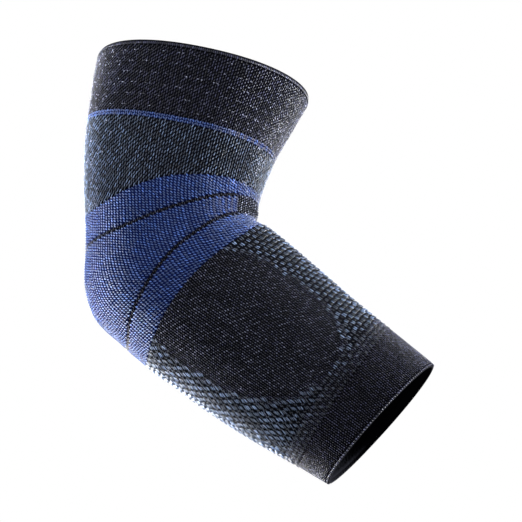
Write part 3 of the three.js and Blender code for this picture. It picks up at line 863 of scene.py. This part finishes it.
def lozenge_knit(zone, fleck, keep=None, shrink=None):
    """Relief of the forearm: large lozenges of strands and smaller, darker ones by turns.

    Each lozenge slants, as every strand lies a little further down than the last. Past the oval's
    middle, towards the crook, straight pairs of thicker strands take their place.
    """
    knit = bpy.context.scene.brace_knit
    lattice = zone.lattice(knit.lozenge_wale, knit.lozenge_course, keep=keep)
    crook = folded(lattice) > math.degrees(bpy.context.scene.brace_shape.oval_angle)
    lean = np.where(crook, 0.0, np.where(lattice["around"] > 180, knit.lozenge_lean, -knit.lozenge_lean))
    lattice = turned(lattice, lean)
    if shrink is not None:
        lattice["scale"] = lattice["scale"] * shrink(lattice)[:, None]
    large = (lattice["row"] + lattice["index"]) % 2 == 0
    kinds = (
        {"which": large & ~crook, "count": 3, "strand": 0.5 * MM, "gap": 0.3 * MM, "slant": 0.8,
         "tall": 1.08, "dark": 0.0},
        {"which": ~large & ~crook, "count": 2, "strand": 0.5 * MM, "gap": 0.3 * MM, "slant": 0.8,
         "tall": 0.5, "dark": LOZENGE_DARK},
        {"which": large & crook, "count": 2, "strand": 0.65 * MM, "gap": 0.6 * MM, "slant": 0.0,
         "tall": 0.9, "dark": 0.0},
        {"which": ~large & crook, "count": 1, "strand": 0.6 * MM, "gap": 0.0, "slant": 0.0,
         "tall": 0.6, "dark": LOZENGE_DARK})
    layers = []
    for step, kind in enumerate(kinds):
        pitch = kind["strand"] + kind["gap"]
        bundle = bundled(chosen(lattice, kind["which"]), kind["count"], pitch, kind["slant"] * pitch)
        bundle = uneven(bundle, STEPS["lozenges"] + step)
        strand = stitch(
            kind["strand"], kind["tall"] * knit.lozenge_course, STRAND, "slate", sides=4, seed_step=step)
        layers.append((bundle, np.maximum(fleck(bundle), kind["dark"]), strand))
    return layers


def rolled_knit(zone, pitch):
    """Rolled edge: one row of narrow legs over the roll."""
    knit = bpy.context.scene.brace_knit
    lattice = zone.lattice(pitch, ONE_ROW)
    width = float(np.mean(zone.end(np.zeros(1)) - zone.start(np.zeros(1))))
    lattice["point"] = lattice["point"] + lattice["out"] * (zone.bulge - 0.9 * knit.ground_depth)
    lattice["scale"][:, 1] = 1.0
    lattice["point"] = lattice["point"] + 0.12 * width * lattice["down"]
    return [(lattice, plain(lattice), leg_stitch("hem", pitch, width, "navy"))]


def knit_zone(name, node, zone, layers, ground="ground"):
    """Builds a zone: its ground wall and its layers of stitches."""
    knit = bpy.context.scene.brace_knit
    points, faces = zone.wall(knit.ground_depth)
    piece = mesh_object(name, points, faces, yarns()[ground])
    finish_piece(piece, node, layers)


def finish_piece(piece, node, layers):
    """Knits the layers onto a piece and lets it stand for its solid."""
    for lattice, fleck, sizes in layers:
        knit_onto(piece, lattice, fleck, sizes)
    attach(piece, "root")
    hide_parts(node)


def ramp(value, low, high):
    """0 below low, 1 above high and smooth in between."""
    t = np.clip((value - low) / (high - low), 0, 1)
    return t * t * (3 - 2 * t)


def folded(lattice):
    """Angle from the elbow's tip, the same at the front and at the back.

    Angles below zero, which the middle gore has on its back half, stay as they are.
    """
    return 180 - np.abs(180 - lattice["around"])


def change(lattice, name):
    """Amount of one of the changes round the sleeve at each place."""
    low, high, amount = CHANGES[name]
    return amount * ramp(folded(lattice), low, high)


def plain(lattice):
    """No stitch in the second yarn."""
    return np.zeros(len(lattice["s"]))


def all_flecks(lattice):
    """Every stitch in the grey yarn."""
    return np.full(len(lattice["s"]), FLECK_LIGHT)


def mesh_flecks(lattice):
    """Pairs of stitches in the oval are a little lighter, like a fine chequerboard."""
    return MESH_LIGHT * ((lattice["row"] + lattice["index"] // 2) % 2)


class BRACE_OT_upper_arm(bpy.types.Operator):
    """Knit the hem, the cuff, the bright stripe and the relief of the upper arm"""
    bl_idname = "brace.upper_arm"
    bl_label = "Upper arm"

    def execute(self, context):
        shape = context.scene.brace_shape
        sleeve = Sleeve(shape)
        hem = Zone(sleeve, "upper_rim", "upper_hem", bulge=shape.hem_bulge)
        knit_zone("upper_hem_knit", "upper_hem", hem, rolled_knit(hem, UPPER_HEM_PITCH))
        cuff = Zone(sleeve, "upper_hem", "stripe_top")
        # Light specks of painted highlight along the elbow's tip side and in the crook
        layers = cuff_knit(cuff) + painted_highlight_specks(cuff, lit_tip_and_crook_share, "cuff_highlight_specks")
        knit_zone("upper_cuff_knit", "upper_cuff", cuff, layers)
        stripe = Zone(sleeve, "stripe_top", "stripe_end", height=shape.gore_height)
        knit_zone("accent_stripe_knit", "accent_stripe", stripe,
                  stripe_knit(stripe, self.broken, shape.stripe), ground="rib_ground")
        relief = Zone(sleeve, "stripe_end", "top", height=shape.relief_height)
        # Light specks of painted highlight along the elbow's tip side and in the crook
        layers = dash_knit(relief, self.towards_crook) + painted_highlight_specks(relief, lit_tip_and_crook_share, "relief_highlight_specks")
        knit_zone("upper_relief", "upper_relief_knit", relief, layers)
        return {"FINISHED"}

    def broken(self, lattice):
        """The stripe breaks up into short blue dashes towards the crook."""
        block = (lattice["index"] // 2) % 2 == 0
        return np.where(block, change(lattice, "stripe's blocks"), change(lattice, "rest of the stripe"))

    def towards_crook(self, lattice):
        """The relief gets darker towards the crook."""
        return change(lattice, "upper relief")


class BRACE_OT_elbow(bpy.types.Operator):
    """Knit the three gores, the dark seams between them and the relief in the crook"""
    bl_idname = "brace.elbow"
    bl_label = "Elbow"

    def execute(self, context):
        shape = context.scene.brace_shape
        sleeve = Sleeve(shape)
        crook = math.degrees(shape.crook_angle)
        half = (shape.seam + HAIRLINE) / 2

        def beside_seam(around):
            return np.where(180 - np.abs(180 - np.mod(around, 360)) <= crook, half, HAIRLINE / 2)

        def clear_of_seam(around):
            return half

        def on_seam(around):
            return HAIRLINE - half

        upper = Zone(sleeve, "top", "upper_seam", height=shape.gore_height, end_gap=beside_seam)
        middle = Zone(sleeve, "upper_seam", "lower_seam", height=shape.gore_height, arc=(-crook, crook),
                      start_gap=clear_of_seam, end_gap=clear_of_seam)
        lower = Zone(sleeve, "lower_seam", "end", height=shape.gore_height, start_gap=beside_seam)
        gores = (
            ("gore_upper", upper, self.tails), ("gore_middle", middle, self.into_crook),
            ("gore_lower", lower, self.tails))
        for name, zone, dark in gores:
            # Light specks of painted highlight in the crook, where the rim light catches the gores
            layers = rib_knit(zone, dark) + painted_highlight_specks(zone, lit_crook_share, "gore_highlight_specks")
            knit_zone(name + "_knit", name, zone, layers, ground="rib_ground")
        for part in ("upper", "lower"):
            seam = Zone(sleeve, part + "_seam", part + "_seam", arc=(-crook, crook),
                        start_gap=on_seam, end_gap=on_seam)
            name = "gore_seam_" + part
            knit_zone(name + "_knit", name, seam, smooth_knit(seam, plain))
        patch = Zone(
            sleeve, "upper_seam", "lower_seam", height=shape.relief_height, arc=(crook, 360 - crook))
        knit_zone("crook_relief", "crook_relief_knit", patch, crook_knit(patch))
        return {"FINISHED"}

    def tails(self, lattice):
        """The outer gores' narrow ends get darker in the crook."""
        return change(lattice, "gores' tails")

    def into_crook(self, lattice):
        """Every other column of the middle gore fades to navy before the crook's patch."""
        return change(lattice, "middle gore") * (lattice["index"] % 2)


class BRACE_OT_forearm(bpy.types.Operator):
    """Knit the forearm's relief, the smooth oval in it, the cuff and the hem"""
    bl_idname = "brace.forearm"
    bl_label = "Forearm"

    def execute(self, context):
        shape, knit = context.scene.brace_shape, context.scene.brace_knit
        sleeve = Sleeve(shape)
        relief = Zone(sleeve, "end", "cuff_top", height=shape.relief_height)
        oval = Oval(sleeve)
        edge = Oval(sleeve, margin=LOZENGE_EDGE * knit.lozenge_wale)
        ring = Oval(sleeve, margin=OVAL_BORDER * knit.lozenge_wale)
        piece = self.relief_with_opening(sleeve, relief)

        def outside_oval(s, around):
            return edge.depth(s, around) > 1

        def border(s, around):
            fade = sleeve.shift(sleeve.edge("cuff_top", around), around, -SMOOTH_START * knit.fade)
            return (oval.depth(s, around) >= 1) & ((ring.depth(s, around) < 1) | (s > fade))

        layers = lozenge_knit(relief, self.fading, keep=outside_oval, shrink=self.shrinking)
        layers += smooth_knit(Zone(sleeve, "end", "cuff_top"), plain, keep=border)
        finish_piece(piece, "forearm_relief_knit", layers)
        self.oval(sleeve)
        cuff = Zone(sleeve, "cuff_top", "lower_hem")
        knit_zone("lower_cuff_knit", "lower_cuff", cuff, smooth_knit(cuff, plain))
        hem = Zone(sleeve, "lower_hem", "lower_rim", bulge=shape.hem_bulge)
        knit_zone("lower_hem_knit", "lower_hem", hem, rolled_knit(hem, LOWER_HEM_PITCH))
        return {"FINISHED"}

    def fading(self, lattice):
        """The relief gets darker towards the lower cuff."""
        fade = bpy.context.scene.brace_knit.fade
        return CUFF_DARK * (1 - ramp(lattice["left"], 0, fade))

    def shrinking(self, lattice):
        """The lozenges get smaller towards the lower cuff."""
        fade = bpy.context.scene.brace_knit.fade
        return 1 - CUFF_SHRINK * (1 - ramp(lattice["left"], 0, fade))

    def relief_with_opening(self, sleeve, zone):
        """The relief's ground wall with the oval cut out of it."""
        ground = bpy.context.scene.brace_knit.ground_depth
        points, faces = zone.wall(ground)
        piece = mesh_object("forearm_relief", points, faces, yarns()["ground"])
        reach = 2 * sleeve.shape.wall
        cutter = self.plate(
            "oval_cutter", sleeve, HAIRLINE, zone.height + reach, -sleeve.shape.wall - reach, False)
        cut = piece.modifiers.new("Oval", "BOOLEAN")
        cut.operation, cut.solver, cut.object = "DIFFERENCE", "EXACT", cutter
        bpy.context.view_layer.update()
        evaluated = piece.evaluated_get(bpy.context.evaluated_depsgraph_get())
        plain_mesh = bpy.data.meshes.new_from_object(evaluated)
        piece.modifiers.remove(cut)
        piece.data = plain_mesh
        bpy.data.objects.remove(cutter)
        return piece

    def plate(self, name, sleeve, margin, outside, inside, cut_straight):
        """Closed plate of the oval's outline between two heights, whole or cut straight by the gores."""
        oval = Oval(sleeve, margin)
        turn = np.linspace(0, 2 * np.pi, OVAL_SIDES, endpoint=False)
        edge = oval.reach(turn) if cut_straight else np.ones(OVAL_SIDES)
        radius = np.linspace(0, 1, OVAL_RINGS + 1)[1:, None] * edge
        s, around = oval.outline(radius, turn[None, :])
        middle_s, middle_around = oval.outline(0.0, 0.0)
        points, faces = [], []
        for height in (outside, inside):
            points.append(sleeve.surface(middle_s, middle_around, height).reshape(1, 3))
            points.append(sleeve.surface(s, around, height).reshape(-1, 3))
        layer, last = 1 + OVAL_RINGS * OVAL_SIDES, OVAL_RINGS - 1
        at = lambda face, ring, side: face * layer + 1 + ring * OVAL_SIDES + side % OVAL_SIDES

        def quad(*corners):
            faces.append(tuple(at(*corner) for corner in corners))

        for a in range(OVAL_SIDES):
            b = a + 1
            faces.append((0, at(0, 0, a), at(0, 0, b)))
            faces.append((layer, at(1, 0, b), at(1, 0, a)))
            for ring in range(last):
                quad((0, ring, a), (0, ring + 1, a), (0, ring + 1, b), (0, ring, b))
                quad((1, ring, a), (1, ring, b), (1, ring + 1, b), (1, ring + 1, a))
            quad((0, last, a), (1, last, a), (1, last, b), (0, last, b))
        return mesh_object(name, np.concatenate(points), faces, yarns()["ground"])

    def oval(self, sleeve):
        """The smooth oval: fine dark stitches in the same columns as the knit round it."""
        knit = bpy.context.scene.brace_knit
        piece = self.plate("forearm_oval_knit", sleeve, 0.0, -knit.ground_depth, -sleeve.shape.wall, True)
        oval, flat = Oval(sleeve), Zone(sleeve, "end", "cuff_top")
        layers = smooth_knit(flat, mesh_flecks, keep=lambda s, around: oval.depth(s, around) < 1)
        finish_piece(piece, "forearm_oval", layers)


# Softboxes: the place of each from the elbow's pivot and its width, in metres
SOFTBOXES = (
    {"name": "key", "place": (-0.75, 0.50, -0.30), "size": 0.5},
    {"name": "rim", "place": (0.95, 0.14, 0.25), "size": 0.25},
    {"name": "fill", "place": (-0.25, -1.2, 0.5), "size": 0.5},
)

# The picture's width in pixels, the camera's sensor in millimetres and the floor's half-width in metres
PICTURE, SENSOR, FLOOR_REACH = 522, 36.0, 12.0


class BRACE_OT_stage(bpy.types.Operator):
    """Place the camera, the softboxes, the white room and the floor"""
    bl_idname = "brace.stage"
    bl_label = "Stage"

    def execute(self, context):
        stage = context.scene.brace_stage
        self.camera(context, stage)
        for box in SOFTBOXES:
            self.softbox(box["name"] + "_softbox", box["place"], box["size"], getattr(stage, box["name"]))
        context.scene.world = self.room(stage)
        context.scene.view_settings.view_transform = "Standard"
        self.floor(stage)
        return {"FINISHED"}

    def room(self, stage):
        """White room: pure white to look at, and dim as a light so that the softboxes model the knit."""
        world = bpy.data.worlds.new("white_room")
        world.use_nodes = True
        tree = world.node_tree
        tree.nodes.clear()
        path = add_node(tree, "ShaderNodeLightPath")
        # 2 is what the sleeve gets as light, 3 is what the camera sees
        strength = add_node(tree, "ShaderNodeMix", {"data_type": "FLOAT"}, {
            0: path.outputs["Is Camera Ray"], 2: stage.room, 3: 1.0})
        white = add_node(tree, "ShaderNodeBackground", inputs={
            "Color": (1, 1, 1, 1), "Strength": strength.outputs[0]})
        add_node(tree, "ShaderNodeOutputWorld", inputs={"Surface": white.outputs["Background"]})
        return world

    def camera(self, context, stage):
        """Camera that looks up along +Y, turned about its own axis.

        It stands off to the side, so that the elbow's pivot falls on its pixel of the square picture.
        """
        focal_pixels = stage.lens / SENSOR * PICTURE
        back = Vector((0, -math.cos(stage.elevation), math.sin(stage.elevation)))
        right, up = Vector((1, 0, 0)), back.cross(Vector((1, 0, 0)))
        turn = Matrix.Rotation(stage.roll, 3, back)
        right, up = turn @ right, turn @ up
        across = (stage.pivot_x - PICTURE / 2) / focal_pixels * stage.distance
        down = (stage.pivot_y - PICTURE / 2) / focal_pixels * stage.distance
        place = back * stage.distance - right * across + up * down
        data = bpy.data.cameras.new("camera")
        data.lens, data.sensor_width, data.clip_end = stage.lens, SENSOR, 50
        camera = bpy.data.objects.new("camera", data)
        camera.matrix_world = Matrix((
            (right.x, up.x, back.x, place.x), (right.y, up.y, back.y, place.y),
            (right.z, up.z, back.z, place.z), (0, 0, 0, 1)))
        context.scene.collection.objects.link(camera)
        context.scene.camera = camera

    def softbox(self, name, place, size, power):
        """Square softbox that faces the elbow's pivot."""
        data = bpy.data.lights.new(name, "AREA")
        data.shape, data.size, data.energy = "SQUARE", size, power
        light = bpy.data.objects.new(name, data)
        light.location = place
        light.rotation_euler = (-Vector(place)).to_track_quat("-Z", "Y").to_euler()
        bpy.context.scene.collection.objects.link(light)

    def floor(self, stage):
        """Plain pale floor far below the sleeve, which an arm holds up.

        The studio's room is dim, so the floor glows a little to look pale, without lighting the sleeve.
        """
        corners = ((-1, -1), (1, -1), (1, 1), (-1, 1))
        points = [(x * FLOOR_REACH, y * FLOOR_REACH, -stage.floor_drop) for x, y in corners]
        material, tree = new_material("pale_floor_paint")
        paint = add_node(tree, "ShaderNodeBsdfPrincipled", inputs={
            "Base Color": linear("f2f2f2"), "Roughness": 0.9, "Emission Color": linear("f2f2f2"),
            "Emission Strength": stage.floor_glow})
        add_node(tree, "ShaderNodeOutputMaterial", inputs={"Surface": paint.outputs["BSDF"]})
        floor = mesh_object("floor", points, [(0, 1, 2, 3)], material)
        floor.visible_diffuse = floor.visible_glossy = False


class BRACE_PT_sleeve(bpy.types.Panel):
    """Lists the steps and the sizes"""
    bl_idname = "BRACE_PT_sleeve"
    bl_label = "Elbow Brace"
    bl_space_type = "VIEW_3D"
    bl_region_type = "UI"
    bl_category = "Elbow Brace"

    def draw(self, context):
        for operator in OPERATORS:
            self.layout.operator(operator.bl_idname)
        for name in GROUPS:
            box = self.layout.box()
            settings = getattr(context.scene, name)
            for setting in settings.__annotations__:
                box.prop(settings, setting)


GROUPS = {
    "brace_shape": BraceShape, "brace_knit": BraceKnit, "brace_yarns": BraceYarns,
    "brace_stage": BraceStage}
OPERATORS = (BRACE_OT_upper_arm, BRACE_OT_elbow, BRACE_OT_forearm, BRACE_OT_stage)


def register():
    for group in (*GROUPS.values(), *OPERATORS, BRACE_PT_sleeve):
        bpy.utils.register_class(group)
    for name, group in GROUPS.items():
        setattr(bpy.types.Scene, name, bpy.props.PointerProperty(type=group))


def unregister():
    for name in GROUPS:
        delattr(bpy.types.Scene, name)
    for group in (BRACE_PT_sleeve, *OPERATORS, *GROUPS.values()):
        bpy.utils.unregister_class(group)


def main():
    register()
    bpy.ops.brace.stage()
    bpy.ops.brace.upper_arm()
    bpy.ops.brace.elbow()
    bpy.ops.brace.forearm()
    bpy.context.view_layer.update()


if __name__ == "__main__":
    main()
